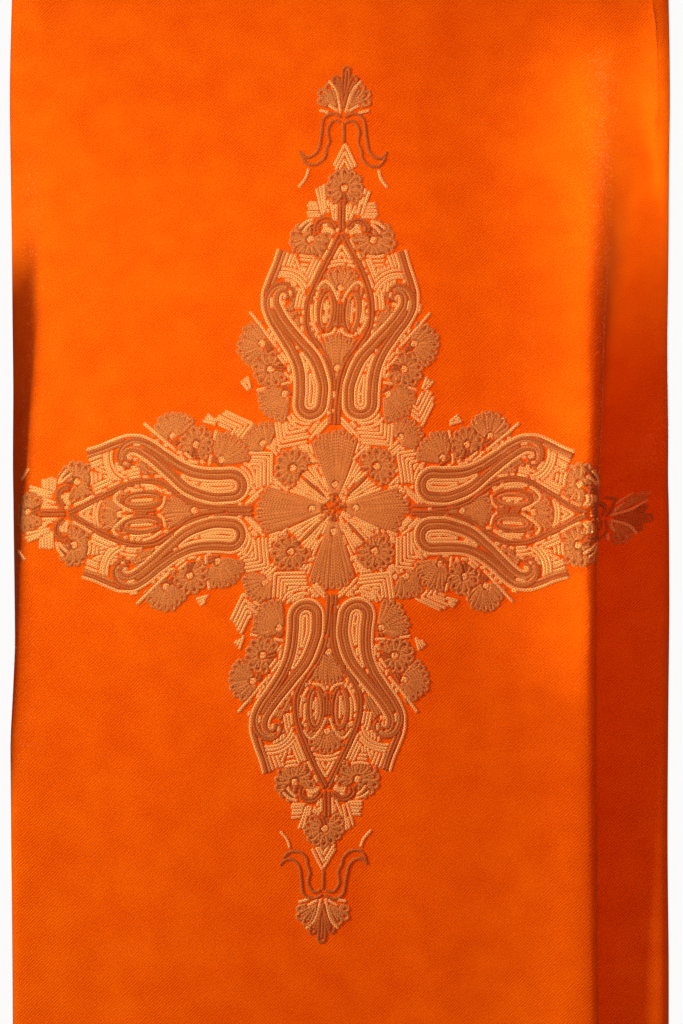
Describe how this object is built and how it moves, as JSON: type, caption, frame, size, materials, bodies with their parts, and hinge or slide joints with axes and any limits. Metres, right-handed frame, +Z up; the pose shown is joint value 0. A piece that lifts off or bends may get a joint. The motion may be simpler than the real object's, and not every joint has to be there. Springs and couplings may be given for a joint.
{
  "type": "shawl hung over a rod",
  "caption": "Fine twill shawl with a chain-stitched medallion, folded lengthwise and hung over a plain wooden rod.",
  "frame": {"origin": "centre of the rod that holds the shawl", "axes": "+Z up, +X along the rod to the viewer's right, -Y towards the viewer of the embroidered side"},
  "size_m": [0.48, 0.1167, 0.9925],
  "materials": {
    "shawl_cloth": "fine wool twill with a soft nap, bright orange",
    "embroidery_cream": "chain stitch in cream wool yarn",
    "embroidery_tan": "chain stitch in tan wool yarn",
    "embroidery_brown": "chain stitch in brown wool yarn",
    "rod_wood": "turned hardwood, satin oiled"
  },
  "bodies": {
    "root": {"rod": "rod_wood", "over_rod": "shawl_cloth", "front_panel": "shawl_cloth", "front_right_pleat": "shawl_cloth", "front_right_wing": "shawl_cloth", "front_left_side": "shawl_cloth", "front_left_wing": "shawl_cloth", "back_panel": "shawl_cloth", "back_right_pleat": "shawl_cloth", "back_right_wing": "shawl_cloth", "back_left_side": "shawl_cloth", "back_left_wing": "shawl_cloth"}
  },
  "joints": []
}
